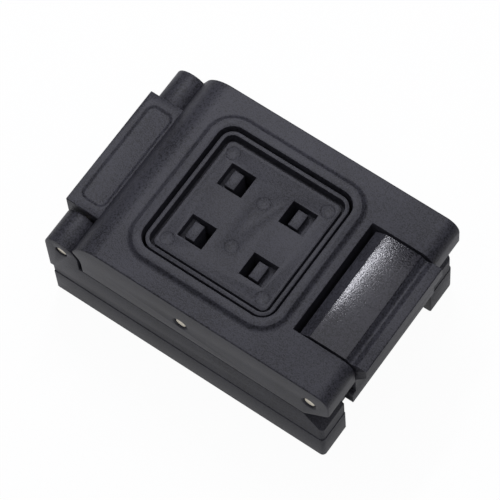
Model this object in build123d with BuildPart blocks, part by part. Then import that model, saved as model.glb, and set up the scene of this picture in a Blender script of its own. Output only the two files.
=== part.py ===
from build123d import *
import os

# Clamshell test socket for a chip with an 8 by 8 grid of contacts, closed and latched.
# Millimetres. The origin is at the middle of the base's underside, where it meets the board.
# +X points to the latch, +Y to the far long side and +Z up.

# Body of the base
body_length = 48.0
body_width = 33.0
base_height = 12.5
corner_radius = 0.7
wall_step = 0.12
wall_step_height = 6.0
bottom_chamfer = 0.3

# Finger relief under the front of the lid, one slope in the base and one in the lid
relief_depth = 3.3
relief_rise = 4.3

# Hinge
ear_radius = 2.9
ear_overhang = 0.6
ear_foot_height = 7.6
hinge_rise = 2.55
knuckle_width = 21.0
knuckle_gap = 0.35
knuckle_reach = 3.1
knuckle_rise = 3.95
knuckle_swing_gap = 0.3
panel_width = 18.0
panel_length = 4.4
panel_inset = 1.1
panel_depth = 0.25
panel_slope = 0.4
panel_radius = 1.3
lid_spring_wire = 0.3
lid_spring_turns = 4
lid_spring_pitch = 0.66
lid_spring_gap = 0.15
lid_spring_lean = 35.0
lid_spring_start = 1.6
spring_room_gap = 0.1
spring_room_length = 6.3
spring_room_width = 11.6

# Steel pins and their fits
pin_radius = 1.0
pin_recess = 0.25
pin_edge = 0.2
tight_fit = 0.03
running_fit = 0.07
pin_mouth = 0.3

# Lid
parting_gap = 0.2
lid_height = 9.3
lid_overhang = 1.28
lid_front_radius = 2.2
lid_back_gap = 0.7
lid_back_reach = 1.4
lid_back_drop = 1.2
lid_back_radius = 5.1
lid_back_turn = 52.0
lid_edge_radius = 0.25
pad_opening_length = 23.0
pad_opening_width = 23.0
pad_opening_radius = 2.6
rim_width = 1.35
rim_slope = 0.55
rim_height = 0.6
rim_foot_radius = 0.8

# Pressure pad
pad_gap = 0.5
pad_drop = 0.05
pad_thickness = 5.0
pad_floor_depth = 0.9
pad_ring_width = 0.6
pad_moat_width = 0.6
pad_moat_depth = 2.0
pad_pin_x = -0.4
pad_pin_height = 16.5
pad_rib_radius = 2.1
window_length = 4.2
window_width = 3.9
window_spacing_x = 10.75
window_spacing_y = 9.75
mark_radius = 1.05
mark_depth = 0.08
mark_spacing_x = 16.5
mark_spacing_y = 16.2
inner_mark_spacing = 8.0

# Pusher block under the pad
post_center = -0.25
post_spacing_x = 11.15
post_drop = 0.5
post_head_length = 1.65
post_head_width = 2.8
post_head_height = 1.05
post_hook = 0.6
post_gap = 0.25
post_seat_gap = 0.05
pusher_plate_length = 18.4
pusher_plate_width = 16.4
pusher_plate_thickness = 1.8
pusher_drop = 3.45
pusher_nose = 9.6
pusher_nose_reach = 1.8
pusher_spring_spacing = 12.6
pusher_spring_radius = 1.5
pusher_spring_wire = 0.2
pusher_spring_turns = 4
pusher_spring_pocket = 0.8

# Fits of all the compression springs
spring_side_gap = 0.2
spring_end_gap = 0.03

# Latch
latch_width = 19.0
latch_gap = 0.35
latch_slot_back = 14.8
latch_slot_floor = 1.9
latch_floor_length = 4.7
latch_pin_x = 21.9
latch_pin_height = 17.6
latch_back_x = 15.6
latch_back_drop = 1.3
latch_back_foot = 15.4
latch_top_back = 17.35
latch_arm_height = 3.9
latch_boss_radius = 2.4
latch_crown = 0.12
latch_top_front = 23.4
latch_top_radius = 1.0
latch_valley_x = 24.35
latch_valley_drop = 0.9
latch_valley_radius = 0.5
lip_back = 25.35
lip_back_radius = 0.6
lip_reach = 26.9
lip_drop = 0.2
lip_radius = 0.2
lip_front_lean = 0.05
lip_front_height = 2.3
lip_root_drop = 5.55
leg_front = 25.05
leg_thickness = 1.5
foot_height = 2.8
foot_bottom = 9.6
foot_side = 0.8
hook_reach = 1.1
hook_height = 1.4
hook_lead = 0.6
hook_gap = 0.25
latch_spring_radius = 1.2
latch_spring_wire = 0.22
latch_spring_turns = 5
latch_spring_x = 17.6
latch_spring_spacing = 11.0
latch_spring_pocket = 0.9

# Front slot between the posts of the base, and the ledge that the hook holds
post_width = 5.5
slot_depth = 2.6
ledge_reach = 1.8

# Contact unit in the base: holder, guide plate above it and retainer plate below
cavity_size = 24.8
web_window = 21.0
web_height = 5.6
web_thickness = 1.0
unit_gap = 0.15
guide_thickness = 1.1
retainer_length = 30.6
retainer_width = 28.0
retainer_thickness = 1.5
retainer_lift = 0.3
contact_pitch = 1.27
contact_rows = 8
contact_width = 0.5
contact_tip_width = 0.28
contact_fit = 0.06
contact_protrusion = 0.2
contact_top = 8.2
contact_shoulder = 0.3
unit_dowel_radius = 0.75
unit_dowel_x = 5.2
unit_dowel_y = 8.6
unit_dowel_end_gap = 0.2

# Screws of the retainer plate
plate_screw_x = 27.4
plate_screw_y = 24.8
plate_screw_radius = 0.6
plate_screw_length = 3.6
plate_screw_head = 1.2
plate_screw_head_height = 0.8
screw_head_gap = 0.1
drive_length = 1.3
drive_width = 0.35
drive_depth = 0.4

# Floating nest for the chip, on springs and held down by four shoulder screws
nest_gap = 0.3
nest_bottom = 7.5
nest_thickness = 3.0
nest_pocket = 13.2
nest_floor = 1.0
nest_lead = 1.0
nest_tip_gap = 0.2
nest_screw_spacing = 18.0
nest_screw_grip = 1.4
nest_stop_gap = 0.05
nest_screw_shoulder = 0.8
nest_screw_thread = 0.55
nest_screw_thread_length = 3.0
nest_screw_head = 1.25
nest_screw_head_height = 0.8
nest_spring_offset = 8.6
nest_spring_radius = 0.95
nest_spring_wire = 0.15
nest_spring_turns = 4
nest_spring_pocket = 1.7
nest_spring_foot = 0.6
nest_spring_side_gap = 0.15

# Brass inserts for the board screws, and holes for the board's dowels
insert_spacing_x = 41.2
insert_spacing_y = 26.8
insert_radius = 1.6
insert_hole_radius = 0.8
insert_length = 4.0
board_dowel_radius = 1.0
board_dowel_depth = 3.0
board_dowel_spacing = 34.6

# Places worked out from the sizes above
half_length = body_length / 2
half_width = body_width / 2
hinge_x = ear_radius - ear_overhang - half_length
hinge_z = base_height + hinge_rise
lid_bottom = base_height + parting_gap
lid_top = lid_bottom + lid_height
lid_front = half_length + lid_overhang
ear_inner = knuckle_width / 2 + knuckle_gap
pin_length = body_width - 2 * pin_recess
pad_top = lid_top - pad_drop
pad_floor = pad_top - pad_floor_depth
pad_bottom = pad_top - pad_thickness
pad_length = pad_opening_length - 2 * pad_gap
pad_width = pad_opening_width - 2 * pad_gap
pad_radius = pad_opening_radius - pad_gap
window_ledge = pad_floor - post_drop - post_head_height - post_seat_gap
pusher_top = pad_bottom - pusher_drop
pusher_bottom = pusher_top - pusher_plate_thickness
post_stem_length = post_head_length - post_hook
post_stem_spacing = post_spacing_x - post_hook
post_stem_span = post_stem_spacing + post_stem_length
latch_half = latch_width / 2
slot_half = latch_half + latch_gap
slot_wall = half_length - slot_depth
post_inner = half_width - post_width
leg_back = leg_front - leg_thickness
hook_top = foot_bottom + hook_height
ledge_bottom = hook_top + hook_gap
spring_floor = lid_bottom + latch_slot_floor
retainer_top = retainer_lift + retainer_thickness
web_top = web_height + web_thickness
guide_top = web_height + guide_thickness
contact_bottom = retainer_lift - contact_protrusion
contact_length = web_height - retainer_top - 2 * contact_shoulder
tip_hole = contact_tip_width + 2 * contact_fit
nest_screw_seat = nest_bottom + nest_screw_grip
lid_coil_radius = pin_radius + lid_spring_gap + lid_spring_wire
latch_spring_reach = latch_spring_radius + latch_spring_wire + spring_side_gap
pusher_spring_reach = pusher_spring_radius + pusher_spring_wire + spring_side_gap
nest_spring_reach = nest_spring_radius + nest_spring_wire + nest_spring_side_gap


def coil_spring(bottom, top, radius, wire, turns):
    """Open compression spring on the Z axis, from one height to another."""
    rise = top - bottom - 2 * wire - 2 * spring_end_gap
    path = Helix(rise / turns, rise, radius, center=(0, 0, bottom + spring_end_gap + wire))
    with BuildPart() as spring:
        with BuildSketch(Plane(path @ 0, z_dir=path % 0)):
            Circle(wire)
        sweep(path=path, is_frenet=True)
    return spring.part


def round_pin(x, z):
    """Steel pin across the socket, its ends a little below the side walls."""
    with BuildPart() as pin:
        with BuildSketch(Plane.XZ):
            with Locations((x, z)):
                Circle(pin_radius)
        extrude(amount=pin_length / 2, both=True)
        chamfer(pin.edges().filter_by(GeomType.CIRCLE), pin_edge)
    return pin


# Base: one moulding with two hinge ears, two front posts and the well for the contacts
with BuildPart() as base:
    with BuildSketch():
        Rectangle(body_length, body_width)
    extrude(amount=base_height)
    fillet(base.edges().filter_by(Axis.Z).group_by(Axis.X)[-1], corner_radius)
    # The lower part of the outer wall stands proud by a hair, at the mould's parting line
    with BuildSketch() as step_outline:
        with Locations((wall_step / 2, 0)):
            Rectangle(body_length + wall_step, body_width + 2 * wall_step)
        fillet(step_outline.vertices().group_by(Axis.X)[-1], corner_radius)
    extrude(amount=wall_step_height)
    chamfer(base.faces().sort_by(Axis.Z)[0].outer_wire().edges(), bottom_chamfer)
    # Relief slope across the front corner, under the lid's own slope
    with BuildSketch(Plane.XZ):
        with BuildLine():
            Polyline(
                (half_length - relief_depth, base_height),
                (half_length + wall_step, base_height),
                (half_length + wall_step, base_height - relief_depth - wall_step),
                close=True,
            )
        make_face()
    extrude(amount=body_width, both=True, mode=Mode.SUBTRACT)
    # Slot between the posts for the latch's leg, with the ledge that the hook holds
    with BuildSketch():
        with Locations((half_length, 0)):
            Rectangle(2 * slot_depth, 2 * post_inner)
    extrude(amount=base_height, mode=Mode.SUBTRACT)
    with BuildSketch(Plane.XY.offset(ledge_bottom)):
        with Locations((slot_wall, 0)):
            Rectangle(2 * ledge_reach, 2 * post_inner)
    extrude(amount=base_height - ledge_bottom)
    # Hinge ears, round on top
    with BuildSketch(Plane.XZ):
        with Locations((hinge_x, hinge_z)):
            Circle(ear_radius)
        with Locations((hinge_x, (ear_foot_height + hinge_z) / 2)):
            Rectangle(2 * ear_radius, hinge_z - ear_foot_height)
    extrude(amount=half_width, both=True)
    # Room between the ears in which the lid's knuckle swings
    swing_radius = (knuckle_reach**2 + knuckle_rise**2) ** 0.5 + knuckle_swing_gap
    with BuildSketch(Plane.XZ):
        with Locations((hinge_x, hinge_z)):
            Circle(swing_radius)
    extrude(amount=ear_inner, both=True, mode=Mode.SUBTRACT)
    with BuildSketch(Plane.XZ):
        with Locations((-half_length - ear_overhang / 2, hinge_z / 2)):
            Rectangle(ear_overhang, hinge_z)
    extrude(amount=ear_inner, both=True, mode=Mode.SUBTRACT)
    with BuildSketch(Plane.XZ):
        with Locations((hinge_x, hinge_z)):
            Circle(pin_radius + tight_fit)
    extrude(amount=half_width, both=True, mode=Mode.SUBTRACT)
    # Well for the nest, the web's window under it and the contact unit's pocket from below
    with BuildSketch(Plane.XY.offset(web_top)):
        RectangleRounded(cavity_size, cavity_size, corner_radius)
    extrude(amount=base_height - web_top, mode=Mode.SUBTRACT)
    with BuildSketch():
        RectangleRounded(web_window, web_window, corner_radius)
    extrude(amount=web_top, mode=Mode.SUBTRACT)
    with BuildSketch():
        RectangleRounded(cavity_size, cavity_size, corner_radius)
    extrude(amount=web_height, mode=Mode.SUBTRACT)
    with BuildSketch():
        RectangleRounded(
            retainer_length + 2 * unit_gap, retainer_width + 2 * unit_gap, corner_radius
        )
    extrude(amount=retainer_top, mode=Mode.SUBTRACT)
    # Holes for the plate screws, the brass inserts and the board's dowels
    with BuildSketch():
        with GridLocations(plate_screw_x, plate_screw_y, 2, 2):
            Circle(plate_screw_radius + tight_fit)
    extrude(amount=retainer_lift + plate_screw_length + 2 * screw_head_gap, mode=Mode.SUBTRACT)
    with BuildSketch():
        with GridLocations(insert_spacing_x, insert_spacing_y, 2, 2):
            Circle(insert_radius + tight_fit)
    extrude(amount=insert_length, mode=Mode.SUBTRACT)
    with BuildSketch():
        with GridLocations(board_dowel_spacing, board_dowel_spacing, 2, 1):
            Circle(board_dowel_radius)
    extrude(amount=board_dowel_depth, mode=Mode.SUBTRACT)

# Lid: one moulding with its knuckle, the opening for the pad and the slot for the latch
with BuildPart() as lid:
    back_x = hinge_x + ear_radius + lid_back_gap
    back_arc = ear_radius + lid_back_gap
    arc_turn = Vector(back_arc, 0).rotate(Axis.Z, lid_back_turn)
    arc_end = (hinge_x + arc_turn.X, hinge_z + arc_turn.Y)
    slope_top = (arc_end[0] + lid_back_reach, lid_top - lid_back_drop)
    slope_run = lid_back_reach * lid_back_drop / (slope_top[1] - arc_end[1])
    with BuildSketch(Plane.XZ) as side:
        with BuildLine():
            Line((back_x, lid_bottom), (back_x, hinge_z))
            CenterArc((hinge_x, hinge_z), back_arc, 0, lid_back_turn)
            Polyline(
                arc_end,
                (slope_top[0] + slope_run, lid_top),
                (lid_front, lid_top),
                (lid_front, lid_bottom + relief_rise),
                (lid_front - relief_rise, lid_bottom),
                (back_x, lid_bottom),
            )
        make_face()
        fillet(side.vertices().group_by(Axis.Y)[-1].sort_by(Axis.X)[0], lid_back_radius)
        fillet(side.vertices().group_by(Axis.Y)[-1].sort_by(Axis.X)[-1], lid_front_radius)
    extrude(amount=half_width, both=True)
    outer_faces = lid.faces().filter_by(Axis.Y)
    top_edges = outer_faces.edges().filter_by(lambda edge: edge.center().Z > arc_end[1])
    fillet(top_edges, lid_edge_radius)
    # Knuckle between the base's ears, flat on top and round below
    with BuildSketch(Plane.XZ):
        with Locations((hinge_x, hinge_z)):
            Circle(knuckle_reach)
            Rectangle(2 * knuckle_reach, knuckle_rise, align=(Align.CENTER, Align.MIN))
            Rectangle(back_arc + knuckle_reach, knuckle_rise, align=(Align.MIN, Align.MIN))
        with Locations((hinge_x, lid_bottom)):
            Rectangle(back_arc + knuckle_reach, hinge_rise, align=(Align.MIN, Align.MIN))
    extrude(amount=knuckle_width / 2, both=True)
    # Sunk panel on top of the knuckle, with sloped sides
    panel_x = hinge_x - knuckle_reach + panel_inset + panel_length / 2
    knuckle_top = hinge_z + knuckle_rise
    with BuildSketch(Plane.XY.offset(knuckle_top)):
        with Locations((panel_x, 0)):
            RectangleRounded(panel_length, panel_width, panel_radius)
    with BuildSketch(Plane.XY.offset(knuckle_top - panel_depth)):
        with Locations((panel_x, 0)):
            RectangleRounded(
                panel_length - 2 * panel_slope,
                panel_width - 2 * panel_slope,
                panel_radius - panel_slope,
            )
    loft(ruled=True, mode=Mode.SUBTRACT)
    # Raised rim around the pad's opening, with a slope and a hollow curve at its foot
    with BuildSketch(Plane.XY.offset(lid_top)):
        RectangleRounded(
            pad_opening_length + 2 * rim_width + 2 * rim_slope,
            pad_opening_width + 2 * rim_width + 2 * rim_slope,
            pad_opening_radius + rim_width + rim_slope,
        )
    with BuildSketch(Plane.XY.offset(lid_top + rim_height)):
        RectangleRounded(
            pad_opening_length + 2 * rim_width,
            pad_opening_width + 2 * rim_width,
            pad_opening_radius + rim_width,
        )
    loft(ruled=True)
    lid_roof = lid.faces().filter_by_position(Axis.Z, lid_top, lid_top).sort_by(SortBy.AREA)[-1]
    fillet(lid_roof.inner_wires()[0].edges(), rim_foot_radius)
    with BuildSketch(Plane.XY.offset(lid_bottom)):
        RectangleRounded(pad_opening_length, pad_opening_width, pad_opening_radius)
    extrude(amount=lid_height + rim_height, mode=Mode.SUBTRACT)
    # Slot for the latch, open to the front, with a floor under its springs
    with BuildSketch(Plane.XY.offset(spring_floor)):
        with Locations((latch_slot_back, 0)):
            Rectangle(body_length, 2 * slot_half, align=(Align.MIN, Align.CENTER))
    extrude(amount=lid_height + rim_height, mode=Mode.SUBTRACT)
    with BuildSketch(Plane.XY.offset(lid_bottom)):
        with Locations((latch_slot_back + latch_floor_length, 0)):
            Rectangle(body_length, 2 * slot_half, align=(Align.MIN, Align.CENTER))
    extrude(amount=lid_height, mode=Mode.SUBTRACT)
    with BuildSketch(Plane.XY.offset(spring_floor)):
        with Locations((latch_spring_x, 0)):
            with GridLocations(latch_spring_spacing, latch_spring_spacing, 1, 2):
                Circle(latch_spring_reach)
    extrude(amount=-latch_spring_pocket, mode=Mode.SUBTRACT)
    # Room in the knuckle for the two lid springs, open below
    room_height = lid_coil_radius + lid_spring_wire + spring_room_gap
    with BuildSketch(Plane.XZ):
        with Locations((hinge_x - room_height, hinge_z + room_height)):
            Rectangle(room_height + spring_room_length, lid_height, align=(Align.MIN, Align.MAX))
        with Locations((hinge_x - knuckle_reach, hinge_z - lid_spring_wire)):
            Rectangle(knuckle_reach, lid_height, align=(Align.MIN, Align.MAX))
    extrude(amount=spring_room_width / 2, both=True, mode=Mode.SUBTRACT)
    # Bores for the three pins, with a small mouth where a pin's end shows
    with BuildSketch(Plane.XZ):
        with Locations((hinge_x, hinge_z)):
            Circle(pin_radius + running_fit)
        with Locations((pad_pin_x, pad_pin_height), (latch_pin_x, latch_pin_height)):
            Circle(pin_radius + tight_fit)
    extrude(amount=half_width, both=True, mode=Mode.SUBTRACT)
    bore_mouths = lid.edges().filter_by(GeomType.CIRCLE).filter_by(
        lambda edge: abs(abs(edge.center().Y) - half_width) < 0.01 and edge.radius < 2 * pin_radius
    )
    chamfer(bore_mouths, pin_mouth)

# Pins of the hinge, the pad and the latch
hinge_pin = round_pin(hinge_x, hinge_z)
pad_pin = round_pin(pad_pin_x, pad_pin_height)
latch_pin = round_pin(latch_pin_x, latch_pin_height)

# Pressure pad: a tray with a thin ring, a moat inside it and four windows in its floor
with BuildPart() as pressure_pad:
    with BuildSketch(Plane.XY.offset(pad_bottom)):
        RectangleRounded(pad_length, pad_width, pad_radius)
    extrude(amount=pad_thickness)
    inner_length = pad_length - 2 * pad_ring_width
    inner_width = pad_width - 2 * pad_ring_width
    inner_radius = pad_radius - pad_ring_width
    with BuildSketch(Plane.XY.offset(pad_floor)):
        RectangleRounded(inner_length, inner_width, inner_radius)
    extrude(amount=pad_floor_depth, mode=Mode.SUBTRACT)
    with BuildSketch(Plane.XY.offset(pad_top - pad_moat_depth)):
        RectangleRounded(inner_length, inner_width, inner_radius)
        RectangleRounded(
            inner_length - 2 * pad_moat_width,
            inner_width - 2 * pad_moat_width,
            inner_radius - pad_moat_width,
            mode=Mode.SUBTRACT,
        )
    extrude(amount=pad_moat_depth, mode=Mode.SUBTRACT)
    # Rib under the pad, with the bore for its pin
    with BuildSketch(Plane.XZ):
        with Locations((pad_pin_x, pad_pin_height)):
            Circle(pad_rib_radius)
            Rectangle(2 * pad_rib_radius, pad_bottom - pad_pin_height, align=(Align.CENTER, Align.MIN))
    extrude(amount=pad_width / 2, both=True)
    with BuildSketch(Plane.XZ):
        with Locations((pad_pin_x, pad_pin_height)):
            Circle(pin_radius + running_fit)
    extrude(amount=half_width, both=True, mode=Mode.SUBTRACT)
    # Windows right through, each with a ledge on its outer side for the hook of a post
    with BuildSketch(Plane.XY.offset(pad_bottom)):
        with GridLocations(window_spacing_x, window_spacing_y, 2, 2):
            Rectangle(window_length, window_width)
    extrude(amount=pad_thickness, mode=Mode.SUBTRACT)
    with BuildSketch(Plane.XY.offset(pad_bottom)):
        with GridLocations(window_spacing_x, window_spacing_y, 2, 2):
            Rectangle(window_length, window_width)
        with Locations((post_center, 0)):
            Rectangle(post_stem_span + 2 * post_gap, pad_width, mode=Mode.SUBTRACT)
    extrude(amount=window_ledge - pad_bottom)
    # Round marks left by the mould's ejector pins
    with BuildSketch(Plane.XY.offset(pad_floor - mark_depth)):
        with GridLocations(mark_spacing_x, mark_spacing_y, 2, 2):
            Circle(mark_radius)
        with GridLocations(mark_spacing_x, inner_mark_spacing, 1, 2):
            Circle(mark_radius)
    extrude(amount=mark_depth, mode=Mode.SUBTRACT)
    # Pockets for the pusher's springs
    with BuildSketch(Plane.XY.offset(pad_bottom)):
        with Locations((pad_pin_x, 0)):
            with GridLocations(pusher_spring_spacing, pusher_spring_spacing, 2, 1):
                Circle(pusher_spring_reach)
    extrude(amount=pusher_spring_pocket, mode=Mode.SUBTRACT)

# Pusher block: a plate with the nose that presses the chip, hung on four hooked posts
with BuildPart() as pusher_block:
    with BuildSketch(Plane.XY.offset(pusher_bottom)):
        with Locations((pad_pin_x, 0)):
            RectangleRounded(pusher_plate_length, pusher_plate_width, corner_radius)
    extrude(amount=pusher_plate_thickness)
    with BuildSketch(Plane.XY.offset(pusher_bottom - pusher_nose_reach)):
        RectangleRounded(pusher_nose, pusher_nose, corner_radius)
    extrude(amount=pusher_nose_reach)
    head_bottom = window_ledge + post_seat_gap
    with BuildSketch(Plane.XY.offset(pusher_top)):
        with Locations((post_center, 0)):
            with GridLocations(post_stem_spacing, window_spacing_y, 2, 2):
                Rectangle(post_stem_length, post_head_width)
    extrude(amount=head_bottom - pusher_top)
    with BuildSketch(Plane.XY.offset(head_bottom)):
        with Locations((post_center, 0)):
            with GridLocations(post_spacing_x, window_spacing_y, 2, 2):
                Rectangle(post_head_length, post_head_width)
    extrude(amount=post_head_height)
    with BuildSketch(Plane.XY.offset(pusher_top)):
        with Locations((pad_pin_x, 0)):
            with GridLocations(pusher_spring_spacing, pusher_spring_spacing, 2, 1):
                Circle(pusher_spring_reach)
    extrude(amount=-pusher_spring_pocket, mode=Mode.SUBTRACT)

# Latch: one moulding with a rear arm on springs, a finger lip and a leg with a hook
with BuildPart() as latch:
    arm_bottom = lid_top - latch_arm_height
    crown_foot = lid_top - latch_crown
    with BuildSketch(Plane.XZ) as latch_side:
        with BuildLine():
            ThreePointArc(
                (latch_top_back, crown_foot),
                ((latch_top_back + latch_top_front) / 2, lid_top),
                (latch_top_front, crown_foot),
            )
            Polyline(
                (latch_top_front, crown_foot),
                (latch_valley_x, lid_top - latch_valley_drop),
                (lip_back, lid_top - lip_drop),
                (lip_reach, lid_top - lip_drop),
                (lip_reach + lip_front_lean, lid_top - lip_drop - lip_front_height),
                (leg_front, lid_top - lip_root_drop),
                (leg_front, foot_bottom),
                (leg_back - hook_reach + hook_lead, foot_bottom),
                (leg_back - hook_reach, foot_bottom + hook_lead),
                (leg_back - hook_reach, hook_top),
                (leg_back, hook_top),
                (leg_back, latch_pin_height - latch_boss_radius),
                (latch_pin_x, latch_pin_height - latch_boss_radius),
                (latch_pin_x - latch_boss_radius, arm_bottom),
                (latch_back_foot, arm_bottom),
                (latch_back_x, lid_top - latch_back_drop),
                (latch_top_back, crown_foot),
            )
        make_face()
        for corner, radius in (
            ((latch_top_front, crown_foot), latch_top_radius),
            ((latch_valley_x, lid_top - latch_valley_drop), latch_valley_radius),
            ((lip_back, lid_top - lip_drop), lip_back_radius),
            ((lip_reach, lid_top - lip_drop), lip_radius),
        ):
            fillet(latch_side.vertices().sort_by_distance(corner)[0], radius)
    extrude(amount=latch_half, both=True)
    # The foot and its hook are a little wider than the leg
    with BuildSketch(Plane.XZ):
        with BuildLine():
            Polyline(
                (leg_front, foot_bottom),
                (leg_front, foot_bottom + foot_height),
                (leg_back, foot_bottom + foot_height),
                (leg_back, hook_top),
                (leg_back - hook_reach, hook_top),
                (leg_back - hook_reach, foot_bottom + hook_lead),
                (leg_back - hook_reach + hook_lead, foot_bottom),
                close=True,
            )
        make_face()
    extrude(amount=latch_half + foot_side, both=True)
    with BuildSketch(Plane.XZ):
        with Locations((latch_pin_x, latch_pin_height)):
            Circle(pin_radius + running_fit)
    extrude(amount=half_width, both=True, mode=Mode.SUBTRACT)
    with BuildSketch(Plane.XY.offset(arm_bottom)):
        with Locations((latch_spring_x, 0)):
            with GridLocations(latch_spring_spacing, latch_spring_spacing, 1, 2):
                Circle(latch_spring_reach)
    extrude(amount=latch_spring_pocket, mode=Mode.SUBTRACT)

# Two torsion springs around the hinge pin, which push the lid open when the latch is freed
start_side = Vector(0, 0, -1).rotate(Axis.Y, lid_spring_lean)
lid_coil_plane = Plane((hinge_x, lid_spring_start, hinge_z), x_dir=start_side, z_dir=(0, 1, 0))
lid_coil_turns = lid_spring_turns + 0.5 - lid_spring_lean / 360
lid_coil_path = lid_coil_plane * Helix(
    lid_spring_pitch, lid_spring_pitch * lid_coil_turns, lid_coil_radius
)
trough_reach = swing_radius - lid_spring_wire - spring_end_gap
lid_spring_leg = (trough_reach**2 - lid_coil_radius**2) ** 0.5
with BuildPart() as lid_springs:
    with BuildSketch(Plane(lid_coil_path @ 0, z_dir=lid_coil_path % 0)):
        Circle(lid_spring_wire)
    sweep(path=lid_coil_path, is_frenet=True)
    wire_ends = lid_springs.faces().filter_by(GeomType.PLANE)
    extrude(wire_ends, amount=lid_spring_leg)
    mirror(about=Plane.XZ)

# Compression springs of the latch and of the pusher block
latch_spring = coil_spring(
    spring_floor - latch_spring_pocket,
    arm_bottom + latch_spring_pocket,
    latch_spring_radius,
    latch_spring_wire,
    latch_spring_turns,
)
with BuildPart() as latch_springs:
    with Locations((latch_spring_x, 0)):
        with GridLocations(latch_spring_spacing, latch_spring_spacing, 1, 2):
            add(latch_spring)
pusher_spring = coil_spring(
    pusher_top - pusher_spring_pocket,
    pad_bottom + pusher_spring_pocket,
    pusher_spring_radius,
    pusher_spring_wire,
    pusher_spring_turns,
)
with BuildPart() as pusher_springs:
    with Locations((pad_pin_x, 0)):
        with GridLocations(pusher_spring_spacing, pusher_spring_spacing, 2, 1):
            add(pusher_spring)

# Contact holder: the block that carries the contacts, clamped against the web
with BuildPart() as contact_holder:
    unit_size = cavity_size - 2 * unit_gap
    with BuildSketch(Plane.XY.offset(retainer_top)):
        RectangleRounded(unit_size, unit_size, corner_radius)
        with GridLocations(contact_pitch, contact_pitch, contact_rows, contact_rows):
            Rectangle(contact_width + 2 * contact_fit, contact_width + 2 * contact_fit, mode=Mode.SUBTRACT)
        with Locations((-unit_dowel_x, -unit_dowel_y), (unit_dowel_x, unit_dowel_y)):
            Circle(unit_dowel_radius + tight_fit, mode=Mode.SUBTRACT)
    extrude(amount=web_height - retainer_top)
    with BuildSketch(Plane.XY.offset(web_height)):
        with GridLocations(nest_screw_spacing, nest_screw_spacing, 2, 2):
            Circle(nest_screw_thread + tight_fit)
    extrude(amount=-nest_screw_thread_length, mode=Mode.SUBTRACT)

# Guide plate: lies on the holder inside the web's window and steers the contact tips
with BuildPart() as guide_plate:
    guide_size = web_window - 2 * unit_gap
    with BuildSketch(Plane.XY.offset(web_height)):
        RectangleRounded(guide_size, guide_size, corner_radius)
        with GridLocations(contact_pitch, contact_pitch, contact_rows, contact_rows):
            Rectangle(tip_hole, tip_hole, mode=Mode.SUBTRACT)
        with Locations((-unit_dowel_x, -unit_dowel_y), (unit_dowel_x, unit_dowel_y)):
            Circle(unit_dowel_radius + tight_fit, mode=Mode.SUBTRACT)
        with GridLocations(nest_screw_spacing, nest_screw_spacing, 2, 2):
            Circle(nest_screw_thread + tight_fit, mode=Mode.SUBTRACT)
    extrude(amount=guide_thickness)
    with BuildSketch(Plane.XY.offset(guide_top)):
        with PolarLocations(nest_spring_offset, 4):
            Circle(nest_spring_reach)
    extrude(amount=-nest_spring_foot, mode=Mode.SUBTRACT)

# Retainer plate: closes the contact unit from below, with a counterbore for each screw
with BuildPart() as retainer_plate:
    with BuildSketch(Plane.XY.offset(retainer_lift)):
        RectangleRounded(retainer_length, retainer_width, corner_radius)
        with GridLocations(contact_pitch, contact_pitch, contact_rows, contact_rows):
            Rectangle(tip_hole, tip_hole, mode=Mode.SUBTRACT)
        with GridLocations(plate_screw_x, plate_screw_y, 2, 2):
            Circle(plate_screw_radius + screw_head_gap, mode=Mode.SUBTRACT)
        with Locations((-unit_dowel_x, -unit_dowel_y), (unit_dowel_x, unit_dowel_y)):
            Circle(unit_dowel_radius + tight_fit, mode=Mode.SUBTRACT)
    extrude(amount=retainer_thickness)
    with BuildSketch(Plane.XY.offset(retainer_lift)):
        with GridLocations(plate_screw_x, plate_screw_y, 2, 2):
            Circle(plate_screw_head + screw_head_gap)
    extrude(amount=plate_screw_head_height + screw_head_gap, mode=Mode.SUBTRACT)

# Contacts: square pins with a wide middle that the two plates trap
with BuildPart() as contacts:
    with BuildSketch(Plane.XY.offset(contact_bottom)):
        with GridLocations(contact_pitch, contact_pitch, contact_rows, contact_rows):
            Rectangle(contact_tip_width, contact_tip_width)
    extrude(amount=contact_top - contact_bottom)
    with BuildSketch(Plane.XY.offset(retainer_top + contact_shoulder)):
        with GridLocations(contact_pitch, contact_pitch, contact_rows, contact_rows):
            Rectangle(contact_width, contact_width)
    extrude(amount=contact_length)

# Two dowels that line up the retainer plate, the holder and the guide plate
with BuildPart() as unit_dowels:
    with BuildSketch(Plane.XY.offset(retainer_lift + unit_dowel_end_gap)):
        with Locations((-unit_dowel_x, -unit_dowel_y), (unit_dowel_x, unit_dowel_y)):
            Circle(unit_dowel_radius)
    extrude(amount=guide_top - retainer_lift - 2 * unit_dowel_end_gap)

# Four screws that hold the retainer plate up in the base
with BuildPart() as plate_screws:
    with BuildSketch(Plane.XY.offset(retainer_lift + screw_head_gap)):
        with GridLocations(plate_screw_x, plate_screw_y, 2, 2):
            Circle(plate_screw_head)
    extrude(amount=plate_screw_head_height)
    with BuildSketch(Plane.XY.offset(retainer_lift + screw_head_gap)):
        with GridLocations(plate_screw_x, plate_screw_y, 2, 2):
            Circle(plate_screw_radius)
    extrude(amount=plate_screw_length)
    with BuildSketch(Plane.XY.offset(retainer_lift + screw_head_gap)):
        with GridLocations(plate_screw_x, plate_screw_y, 2, 2):
            Rectangle(drive_length, drive_width)
            Rectangle(drive_width, drive_length)
    extrude(amount=drive_depth, mode=Mode.SUBTRACT)

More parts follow.
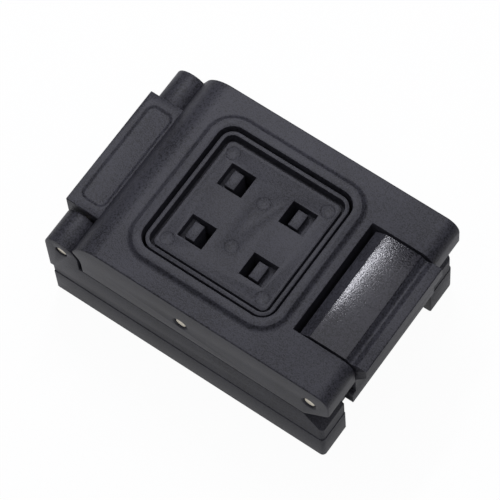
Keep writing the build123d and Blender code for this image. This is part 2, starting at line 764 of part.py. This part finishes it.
# Floating nest: holds the chip above the contact tips until the lid presses it down
with BuildPart() as chip_nest:
    nest_size = cavity_size - 2 * nest_gap
    with BuildSketch(Plane.XY.offset(nest_bottom)):
        RectangleRounded(nest_size, nest_size, corner_radius)
    extrude(amount=nest_thickness)
    with BuildSketch(Plane.XY.offset(nest_bottom + nest_floor)):
        Rectangle(nest_pocket, nest_pocket)
    extrude(amount=nest_thickness - nest_floor, mode=Mode.SUBTRACT)
    pocket_edges = chip_nest.faces().sort_by(Axis.Z)[-1].inner_wires()[0].edges()
    chamfer(pocket_edges, nest_lead)
    with BuildSketch(Plane.XY.offset(nest_bottom)):
        with GridLocations(contact_pitch, contact_pitch, contact_rows, contact_rows):
            Rectangle(contact_tip_width + 2 * nest_tip_gap, contact_tip_width + 2 * nest_tip_gap)
        with GridLocations(nest_screw_spacing, nest_screw_spacing, 2, 2):
            Circle(nest_screw_shoulder + running_fit)
    extrude(amount=nest_thickness, mode=Mode.SUBTRACT)
    with BuildSketch(Plane.XY.offset(nest_screw_seat)):
        with GridLocations(nest_screw_spacing, nest_screw_spacing, 2, 2):
            Circle(nest_screw_head + screw_head_gap)
    extrude(amount=nest_thickness, mode=Mode.SUBTRACT)
    with BuildSketch(Plane.XY.offset(nest_bottom)):
        with PolarLocations(nest_spring_offset, 4):
            Circle(nest_spring_reach)
    extrude(amount=nest_spring_pocket, mode=Mode.SUBTRACT)

# Four shoulder screws that stop the nest's rise
with BuildPart() as nest_screws:
    screw_stop = nest_screw_seat + nest_stop_gap
    with BuildSketch(Plane.XY.offset(guide_top)):
        with GridLocations(nest_screw_spacing, nest_screw_spacing, 2, 2):
            Circle(nest_screw_shoulder)
    extrude(amount=screw_stop - guide_top)
    with BuildSketch(Plane.XY.offset(screw_stop)):
        with GridLocations(nest_screw_spacing, nest_screw_spacing, 2, 2):
            Circle(nest_screw_head)
    extrude(amount=nest_screw_head_height)
    with BuildSketch(Plane.XY.offset(guide_top)):
        with GridLocations(nest_screw_spacing, nest_screw_spacing, 2, 2):
            Circle(nest_screw_thread)
    extrude(amount=screw_head_gap - nest_screw_thread_length - guide_thickness)
    with BuildSketch(Plane.XY.offset(screw_stop + nest_screw_head_height)):
        with GridLocations(nest_screw_spacing, nest_screw_spacing, 2, 2):
            Rectangle(drive_length, drive_width)
            Rectangle(drive_width, drive_length)
    extrude(amount=-drive_depth, mode=Mode.SUBTRACT)

# Springs that lift the nest
nest_spring = coil_spring(
    guide_top - nest_spring_foot,
    nest_bottom + nest_spring_pocket,
    nest_spring_radius,
    nest_spring_wire,
    nest_spring_turns,
)
with BuildPart() as nest_springs:
    with PolarLocations(nest_spring_offset, 4):
        add(nest_spring)

# Brass inserts in the base's underside
with BuildPart() as board_inserts:
    with BuildSketch():
        with GridLocations(insert_spacing_x, insert_spacing_y, 2, 2):
            Circle(insert_radius)
            Circle(insert_hole_radius, mode=Mode.SUBTRACT)
    extrude(amount=insert_length)

base.part.label = "base"
lid.part.label = "lid"
latch.part.label = "latch"
pressure_pad.part.label = "pressure_pad"
pusher_block.part.label = "pusher_block"
chip_nest.part.label = "chip_nest"
contact_holder.part.label = "contact_holder"
guide_plate.part.label = "guide_plate"
retainer_plate.part.label = "retainer_plate"
contacts.part.label = "contacts"
unit_dowels.part.label = "unit_dowels"
plate_screws.part.label = "plate_screws"
nest_screws.part.label = "nest_screws"
board_inserts.part.label = "board_inserts"
hinge_pin.part.label = "hinge_pin"
pad_pin.part.label = "pad_pin"
latch_pin.part.label = "latch_pin"
lid_springs.part.label = "lid_springs"
latch_springs.part.label = "latch_springs"
pusher_springs.part.label = "pusher_springs"
nest_springs.part.label = "nest_springs"

os.makedirs("parts", exist_ok=True)
for piece in (
    base,
    lid,
    latch,
    pressure_pad,
    pusher_block,
    chip_nest,
    contact_holder,
    guide_plate,
    retainer_plate,
    contacts,
    unit_dowels,
    plate_screws,
    nest_screws,
    board_inserts,
    hinge_pin,
    pad_pin,
    latch_pin,
    lid_springs,
    latch_springs,
    pusher_springs,
    nest_springs,
):
    export_step(piece.part, f"parts/{piece.part.label}.step")
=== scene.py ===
import math

import bpy
from mathutils import Matrix, Vector


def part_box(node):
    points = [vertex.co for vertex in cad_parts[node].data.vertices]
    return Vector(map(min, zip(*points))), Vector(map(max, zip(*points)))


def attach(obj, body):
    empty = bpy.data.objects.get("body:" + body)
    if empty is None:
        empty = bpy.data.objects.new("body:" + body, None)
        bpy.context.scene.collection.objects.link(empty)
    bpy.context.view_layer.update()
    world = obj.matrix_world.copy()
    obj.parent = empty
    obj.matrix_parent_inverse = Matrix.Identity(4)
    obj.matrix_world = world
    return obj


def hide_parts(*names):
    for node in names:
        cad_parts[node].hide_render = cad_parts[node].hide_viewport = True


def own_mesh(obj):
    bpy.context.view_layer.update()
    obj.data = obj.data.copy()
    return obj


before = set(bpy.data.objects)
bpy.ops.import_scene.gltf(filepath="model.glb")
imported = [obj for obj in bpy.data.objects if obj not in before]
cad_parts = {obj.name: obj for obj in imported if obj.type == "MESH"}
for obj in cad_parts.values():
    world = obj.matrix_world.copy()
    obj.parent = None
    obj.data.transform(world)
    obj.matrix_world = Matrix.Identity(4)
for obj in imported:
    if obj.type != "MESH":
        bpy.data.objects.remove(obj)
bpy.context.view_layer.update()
mm = 0.001


# Camera
# A long lens looks down over the long side and the latch end, as for a product picture.
# Its height and turn were worked out from the straight edges and corners of the body.
camera_azimuth = 40.926
camera_elevation = 65.352
camera_roll = -6.25
camera_distance = 0.45396
camera_target = Vector((-0.00049, 0.00047, 0.011))
sensor_width = 36.0
lens_length = 225.0

camera_data = bpy.data.cameras.new("product_camera")
camera_data.sensor_width = sensor_width
camera_data.lens = lens_length
camera_data.clip_start = 0.01
camera_data.clip_end = 10.0
camera = bpy.data.objects.new("product_camera", camera_data)
bpy.context.scene.collection.objects.link(camera)
turn = math.radians(camera_azimuth)
tilt = math.radians(camera_elevation)
towards_camera = Vector(
    (math.cos(tilt) * math.sin(turn), -math.cos(tilt) * math.cos(turn), math.sin(tilt))
)
camera_turn = towards_camera.to_track_quat("Z", "Y").to_matrix().to_4x4()
camera_spin = Matrix.Rotation(math.radians(camera_roll), 4, "Z")
camera_place = Matrix.Translation(camera_target + camera_distance * towards_camera)
camera.matrix_world = camera_place @ camera_turn @ camera_spin
bpy.context.scene.camera = camera


# Table and lights
# A white table under one soft ceiling light, so gaps stay black, with a small bright light
# beyond the hinge that gives the streak on the latch.
def linear(hex_colour):
    """The linear colour of an sRGB hex value."""
    shares = [int(hex_colour[i : i + 2], 16) / 255 for i in (1, 3, 5)]
    return tuple(
        [s / 12.92 if s <= 0.04045 else ((s + 0.055) / 1.055) ** 2.4 for s in shares] + [1.0]
    )


def add_node(material, kind, settings=(), links=()):
    """A new node in the material, with its values and its incoming links by socket."""
    tree = material.node_tree
    node = tree.nodes.new(kind)
    for name, value in dict(settings).items():
        if isinstance(name, int) or name in node.inputs:
            node.inputs[name].default_value = value
        else:
            setattr(node, name, value)
    for name, socket in dict(links).items():
        tree.links.new(socket, node.inputs[name])
    return node


table_size = 4.0
table_drop = 0.02
table_glow = 0.96
gloss_glow = 0.5
tent_glow = 0.1
bpy.ops.object.select_all(action="DESELECT")
bpy.ops.mesh.primitive_plane_add(size=table_size, location=(0, 0, -table_drop * mm))
table = bpy.context.object
table.name = "table_top"

table_sheet = bpy.data.materials.new("white_table_sheet")
table_sheet.use_nodes = True
table_sheet.node_tree.nodes.clear()
path = add_node(table_sheet, "ShaderNodeLightPath").outputs
seen_direct = add_node(
    table_sheet,
    "ShaderNodeMath",
    {"operation": "MAXIMUM"},
    {0: path["Is Camera Ray"], 1: path["Is Transmission Ray"]},
)
# In reflections the sheet glows at half strength, so that walls show the socket's own shadow
seen_in_gloss = add_node(
    table_sheet,
    "ShaderNodeMath",
    {"operation": "MULTIPLY", 1: gloss_glow},
    {0: path["Is Glossy Ray"]},
)
seen = add_node(
    table_sheet,
    "ShaderNodeMath",
    {"operation": "MAXIMUM"},
    {0: seen_direct.outputs[0], 1: seen_in_gloss.outputs[0]},
)
share = add_node(
    table_sheet, "ShaderNodeMath", {"operation": "MULTIPLY", 1: table_glow}, {0: seen.outputs[0]}
)
paper = add_node(table_sheet, "ShaderNodeBsdfDiffuse", {"Color": linear("#f4f4f4")})
glow = add_node(table_sheet, "ShaderNodeEmission", {"Color": linear("#ffffff"), "Strength": 1.0})
paper_mix = add_node(
    table_sheet,
    "ShaderNodeMixShader",
    {},
    {0: share.outputs[0], 1: paper.outputs[0], 2: glow.outputs[0]},
)
add_node(table_sheet, "ShaderNodeOutputMaterial", {}, {"Surface": paper_mix.outputs[0]})
table.data.materials.append(table_sheet)

tent = bpy.data.worlds.new("tent")
bpy.context.scene.world = tent
tent.use_nodes = True
cloth = tent.node_tree.nodes["Background"]
cloth.inputs["Color"].default_value = linear("#f1f2f8")
cloth.inputs["Strength"].default_value = tent_glow

# Each light: its place and its size across and along in metres, and its power
tent_lights = {
    "ceiling_light": ((-0.04, 0.00, 0.60), (0.90, 0.90), 3.4),
    "hinge_end_light": ((-0.090, 0.128, 0.240), (0.02, 0.15), 0.37),
}
for name, (place, (across, along), power) in tent_lights.items():
    light_data = bpy.data.lights.new(name, "AREA")
    light_data.shape = "RECTANGLE"
    light_data.size = across
    light_data.size_y = along
    light_data.energy = power
    light_data.color = linear("#f6f6ff")[:3]
    light = bpy.data.objects.new(name, light_data)
    bpy.context.scene.collection.objects.link(light)
    light.location = place


# Moulded housing: base and lid
# Glass-filled polyphenylene sulphide, injection moulded in charcoal. The mould was spark
# eroded, so flats have a fine pitted grain. The edges carry a painted highlight, a little lighter.
resin_ior = 1.55
pit_spacing = 2.4            # in grains
flow_width = 8.0
edge_highlight_width = 0.12
edge_highlight_colour = "#5c5b62"
dullness_spread = 0.05
housing_colours = ("#17171a", "#36363c")
moulded_edge = 0.1
weld_gap = 0.001
flat_angle = 0.3
sharp_angle = 28.0
smooth_angle = 30.0


def plastic(name, colours, grain, depth, dullness, shine, marks=None):
    """Spark-eroded plastic: dark and light colour, grain size and depth in millimetres,
    mean roughness, specular level, and a function that adds marks to the relief."""
    material = bpy.data.materials.new(name)
    material.use_nodes = True
    shader = material.node_tree.nodes["Principled BSDF"]
    shader.inputs["IOR"].default_value = resin_ior
    shader.inputs["Specular IOR Level"].default_value = shine
    place = add_node(material, "ShaderNodeTexCoord").outputs["Object"]
    # Fine grain and the pits of the spark erosion, which break up every reflection
    fine = add_node(
        material,
        "ShaderNodeTexNoise",
        {"Scale": 1 / (grain * mm), "Detail": 1.0, "Roughness": 0.5},
        {"Vector": place},
    ).outputs["Fac"]
    pits = add_node(
        material,
        "ShaderNodeTexVoronoi",
        {"Scale": 1 / (pit_spacing * grain * mm)},
        {"Vector": place},
    ).outputs["Distance"]
    relief = add_node(
        material, "ShaderNodeMath", {"operation": "MULTIPLY_ADD", 1: 0.25}, {0: pits, 2: fine}
    ).outputs[0]
    # Flow of the melt, seen as a slow change of tone over the flats
    flow = add_node(
        material,
        "ShaderNodeTexNoise",
        {"Scale": 1 / (flow_width * mm), "Detail": 2.0, "Roughness": 0.5},
        {"Vector": place},
    ).outputs["Fac"]
    tone = add_node(
        material, "ShaderNodeMath", {"operation": "MULTIPLY_ADD", 1: 0.35}, {0: flow, 2: relief}
    ).outputs[0]
    ramp = add_node(material, "ShaderNodeValToRGB", {}, {"Fac": tone})
    ramp.color_ramp.elements[0].position = 0.6
    ramp.color_ramp.elements[0].color = linear(colours[0])
    ramp.color_ramp.elements[1].position = 0.9
    ramp.color_ramp.elements[1].color = linear(colours[1])
    # Painted highlight: the edges are painted a little lighter than the flats
    bevel = add_node(material, "ShaderNodeBevel", {"samples": 4, "Radius": edge_highlight_width * mm})
    flat = add_node(material, "ShaderNodeNewGeometry").outputs["Normal"]
    agree = add_node(
        material,
        "ShaderNodeVectorMath",
        {"operation": "DOT_PRODUCT"},
        {0: bevel.outputs["Normal"], 1: flat},
    ).outputs["Value"]
    edge_highlight = add_node(
        material,
        "ShaderNodeMapRange",
        {"From Min": 0.98, "From Max": 0.75, "To Min": 0.0, "To Max": 0.3},
        {"Value": agree},
    ).outputs["Result"]
    edge_mix = add_node(
        material,
        "ShaderNodeMix",
        {"data_type": "RGBA"},
        {0: edge_highlight, 6: ramp.outputs["Color"]},
    )
    edge_mix.inputs[7].default_value = linear(edge_highlight_colour)
    material.node_tree.links.new(edge_mix.outputs[2], shader.inputs["Base Color"])
    # The dullness changes a little with the relief
    low_dull = dullness - dullness_spread
    high_dull = dullness + dullness_spread
    dull = add_node(
        material,
        "ShaderNodeMapRange",
        {"From Min": 0.45, "From Max": 1.0, "To Min": low_dull, "To Max": high_dull},
        {"Value": relief},
    )
    material.node_tree.links.new(dull.outputs["Result"], shader.inputs["Roughness"])
    height = marks(material, place, relief) if marks else relief
    bump = add_node(
        material, "ShaderNodeBump", {"Strength": 1.0, "Distance": depth * mm}, {"Height": height}
    )
    material.node_tree.links.new(bump.outputs["Normal"], shader.inputs["Normal"])
    return material


def merged_copy(node, name, join_flats=True):
    """A copy of a solid in its place, its loose triangles joined at their corners, and into one
    face wherever they are flat."""
    piece = bpy.data.objects.new(name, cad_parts[node].data.copy())
    bpy.context.scene.collection.objects.link(piece)
    bpy.ops.object.select_all(action="DESELECT")
    piece.select_set(True)
    bpy.context.view_layer.objects.active = piece
    bpy.ops.object.mode_set(mode="EDIT")
    bpy.ops.mesh.select_all(action="SELECT")
    bpy.ops.mesh.remove_doubles(threshold=weld_gap * mm)
    if join_flats:
        bpy.ops.mesh.dissolve_limited(angle_limit=math.radians(flat_angle))
    bpy.ops.object.mode_set(mode="OBJECT")
    return piece


def dress_copy(piece, node, body, material):
    """The copy smoothed and finished with this material, in the solid's stead on its body."""
    bpy.ops.object.shade_smooth_by_angle(angle=math.radians(smooth_angle))
    piece.data.materials.clear()
    piece.data.materials.append(material)
    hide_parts(node)
    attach(piece, body)


def rounded_copy(node, name, body, edge, material):
    """A copy of a solid with its sharp edges rounded by this radius, in its place."""
    piece = merged_copy(node, name)
    bevel = piece.modifiers.new("edge", "BEVEL")
    bevel.limit_method = "ANGLE"
    bevel.angle_limit = math.radians(sharp_angle)
    bevel.width = edge * mm
    bevel.segments = 2
    bevel.use_clamp_overlap = False
    bpy.ops.object.modifier_apply(modifier="edge")
    # Where several sharp edges meet, the rounding can overshoot: it is cut back to the solid's box
    low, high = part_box(node)
    for vertex in piece.data.vertices:
        vertex.co = [min(max(c, a), b) for c, a, b in zip(vertex.co, low, high)]
    dress_copy(piece, node, body, material)
    return piece


housing_plastic = plastic(
    "spark_eroded_housing_plastic", housing_colours, grain=0.2, depth=0.03, dullness=0.5, shine=0.2
)
rounded_copy("base", "moulded_base", "base_unit", moulded_edge, housing_plastic)
rounded_copy("lid", "moulded_lid", "lid_unit", moulded_edge, housing_plastic)


# Pressure pad and pusher block
# The same plastic as the housing from a mould with a slightly finer grain. The pad rocks on its
# pin in the lid, and the block hangs under it on four hooked posts.
pad_edge = 0.06
pusher_edge = 0.08
pad_plastic = plastic(
    "moulded_pad_plastic", housing_colours, grain=0.18, depth=0.03, dullness=0.5, shine=0.2
)
rounded_copy("pressure_pad", "moulded_pad", "pad_unit", pad_edge, pad_plastic)
rounded_copy("pusher_block", "moulded_pusher", "pusher_unit", pusher_edge, pad_plastic)


# Latch
# The same plastic. The crown, where a finger presses, came off a polished part of the mould
# with a coarse stipple, so it shines, and it has the faint round mark of an ejector pin.
mark_centre = (21.7 * mm, 1.4 * mm, 0)
mark_radius = 2.5
mark_line = 0.09
mark_depth = 2.0             # in heights of the stipple
crown_colours = ("#0f0f12", "#28272d")
crown_back = 17.3
crown_front = 23.5
crown_foot = 20.8
crown_lean = 0.6
latch_edge = 0.06


def ejector_mark(material, place, relief):
    """The relief with a shallow ring at the ejector mark added."""
    flat_place = add_node(
        material, "ShaderNodeVectorMath", {"operation": "MULTIPLY", 1: (1, 1, 0)}, {0: place}
    ).outputs[0]
    reach = add_node(
        material, "ShaderNodeVectorMath", {"operation": "DISTANCE", 1: mark_centre}, {0: flat_place}
    ).outputs["Value"]
    on_ring = add_node(
        material,
        "ShaderNodeMath",
        {"operation": "COMPARE", 1: mark_radius * mm, 2: mark_line * mm},
        {0: reach},
    ).outputs[0]
    return add_node(
        material,
        "ShaderNodeMath",
        {"operation": "MULTIPLY_ADD", 1: -mark_depth},
        {0: on_ring, 2: relief},
    ).outputs[0]


crown_plastic = plastic(
    "stippled_crown_plastic",
    crown_colours,
    grain=0.22,
    depth=0.018,
    dullness=0.2,
    shine=0.36,
    marks=ejector_mark,
)
latch = rounded_copy("latch", "moulded_latch", "latch_unit", latch_edge, housing_plastic)
latch.data.materials.append(crown_plastic)
for face in latch.data.polygons:
    above_foot = face.center.z > crown_foot * mm and face.normal.z > crown_lean
    if above_foot and crown_back * mm < face.center.x < crown_front * mm:
        face.material_index = 1


# Nest and contact plates
# Machined from black static-safe plastic, so they carry the fine curved marks of the cutter.
# The marks are drawn a little coarser than real ones, so that they show.
plate_ior = 1.5
speck_size = 0.2
plate_edge = 0.05


def milled_plate(name, colours, spacing):
    """Milled plastic with cutter marks of this spacing in millimetres."""
    material = bpy.data.materials.new(name)
    material.use_nodes = True
    shader = material.node_tree.nodes["Principled BSDF"]
    shader.inputs["IOR"].default_value = plate_ior
    place = add_node(material, "ShaderNodeTexCoord").outputs["Object"]
    marks = add_node(
        material,
        "ShaderNodeTexWave",
        {
            "wave_type": "RINGS",
            "rings_direction": "Z",
            "Scale": 0.32 / (spacing * mm),
            "Distortion": 2.0,
            "Detail": 2.0,
            "Detail Scale": 2.0,
        },
        {"Vector": place},
    ).outputs["Fac"]
    speck = add_node(
        material,
        "ShaderNodeTexNoise",
        {"Scale": 1 / (speck_size * mm), "Detail": 2.0},
        {"Vector": place},
    ).outputs["Fac"]
    tone = add_node(
        material, "ShaderNodeMath", {"operation": "MULTIPLY_ADD", 1: 0.35}, {0: marks, 2: speck}
    ).outputs[0]
    ramp = add_node(material, "ShaderNodeValToRGB", {}, {"Fac": tone})
    ramp.color_ramp.elements[0].position = 0.35
    ramp.color_ramp.elements[0].color = linear(colours[0])
    ramp.color_ramp.elements[1].position = 1.0
    ramp.color_ramp.elements[1].color = linear(colours[1])
    material.node_tree.links.new(ramp.outputs["Color"], shader.inputs["Base Color"])
    dull = add_node(
        material, "ShaderNodeMapRange", {"To Min": 0.36, "To Max": 0.6}, {"Value": tone}
    )
    material.node_tree.links.new(dull.outputs["Result"], shader.inputs["Roughness"])
    bump = add_node(
        material, "ShaderNodeBump", {"Strength": 0.8, "Distance": 0.012 * mm}, {"Height": tone}
    )
    material.node_tree.links.new(bump.outputs["Normal"], shader.inputs["Normal"])
    return material


plate_plastic = milled_plate("milled_plate_plastic", ("#202022", "#34343a"), spacing=0.35)
for node, body in (
    ("chip_nest", "nest_unit"),
    ("contact_holder", "base_unit"),
    ("guide_plate", "base_unit"),
    ("retainer_plate", "base_unit"),
):
    rounded_copy(node, "milled_" + node, body, plate_edge, plate_plastic)


# Pins, dowels and screws
# Hardened steel, ground round and cropped to length, with faint grinding marks. Its colour is
# painted warm cream, the painted tint of warm light falling on the pin ends.
def metal(name, colours, dullness, mark, depth):
    """Bare metal: dark and light colour, roughness, and marks of this size and depth in
    millimetres."""
    material = bpy.data.materials.new(name)
    material.use_nodes = True
    shader = material.node_tree.nodes["Principled BSDF"]
    shader.inputs["Metallic"].default_value = 1.0
    place = add_node(material, "ShaderNodeTexCoord").outputs["Object"]
    marks = add_node(
        material,
        "ShaderNodeTexNoise",
        {"Scale": 1 / (mark * mm), "Detail": 4.0, "Roughness": 0.65},
        {"Vector": place},
    ).outputs["Fac"]
    ramp = add_node(material, "ShaderNodeValToRGB", {}, {"Fac": marks})
    ramp.color_ramp.elements[0].position = 0.3
    ramp.color_ramp.elements[0].color = linear(colours[0])
    ramp.color_ramp.elements[1].position = 0.72
    ramp.color_ramp.elements[1].color = linear(colours[1])
    material.node_tree.links.new(ramp.outputs["Color"], shader.inputs["Base Color"])
    dull = add_node(
        material,
        "ShaderNodeMapRange",
        {"From Min": 0.3, "From Max": 0.7, "To Min": dullness - 0.08, "To Max": dullness + 0.12},
        {"Value": marks},
    )
    material.node_tree.links.new(dull.outputs["Result"], shader.inputs["Roughness"])
    bump = add_node(
        material, "ShaderNodeBump", {"Strength": 1.0, "Distance": depth * mm}, {"Height": marks}
    )
    material.node_tree.links.new(bump.outputs["Normal"], shader.inputs["Normal"])
    return material


def dress(nodes, material):
    """The material on each of these solids as it is."""
    for node in nodes:
        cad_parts[node].data.materials.clear()
        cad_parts[node].data.materials.append(material)


pin_steel = metal("ground_pin_steel", ("#b9b2a1", "#efe8d6"), dullness=0.34, mark=0.1, depth=0.01)
dress(
    ("hinge_pin", "pad_pin", "latch_pin", "unit_dowels", "plate_screws", "nest_screws"), pin_steel
)


# Springs
# Drawn spring wire, brighter and smoother than the pins, with fine die lines. The lid's torsion
# springs stay as they are, and the others are copied, smoothed and put on their bodies.
def closing_coils(node, name, body):
    """A merged copy of the springs, smoothed and finished in spring wire on its body."""
    coils = merged_copy(node, name, join_flats=False)
    dress_copy(coils, node, body, spring_steel)
    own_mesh(coils)


spring_steel = metal(
    "drawn_spring_wire", ("#a6a6a4", "#dededb"), dullness=0.24, mark=0.07, depth=0.004
)
dress(("lid_springs",), spring_steel)
closing_coils(
    "latch_springs",
    "latch_coils",
    "lid_unit",
)
closing_coils(
    "pusher_springs",
    "pusher_coils",
    "pad_unit",
)
closing_coils(
    "nest_springs",
    "nest_coils",
    "base_unit",
)


# Board inserts
# Turned brass, pressed into the base from below, a little tarnished.
insert_brass = metal(
    "turned_insert_brass", ("#8f6c2a", "#d0a954"), dullness=0.34, mark=0.18, depth=0.012
)
dress(("board_inserts",), insert_brass)


# Contacts
# Gold plate on spring copper, bright at the tips.
contact_gold = metal(
    "plated_contact_gold", ("#c08d38", "#e8c06a"), dullness=0.24, mark=0.08, depth=0.004
)
dress(("contacts",), contact_gold)


bpy.context.scene.view_settings.view_transform = "Standard"
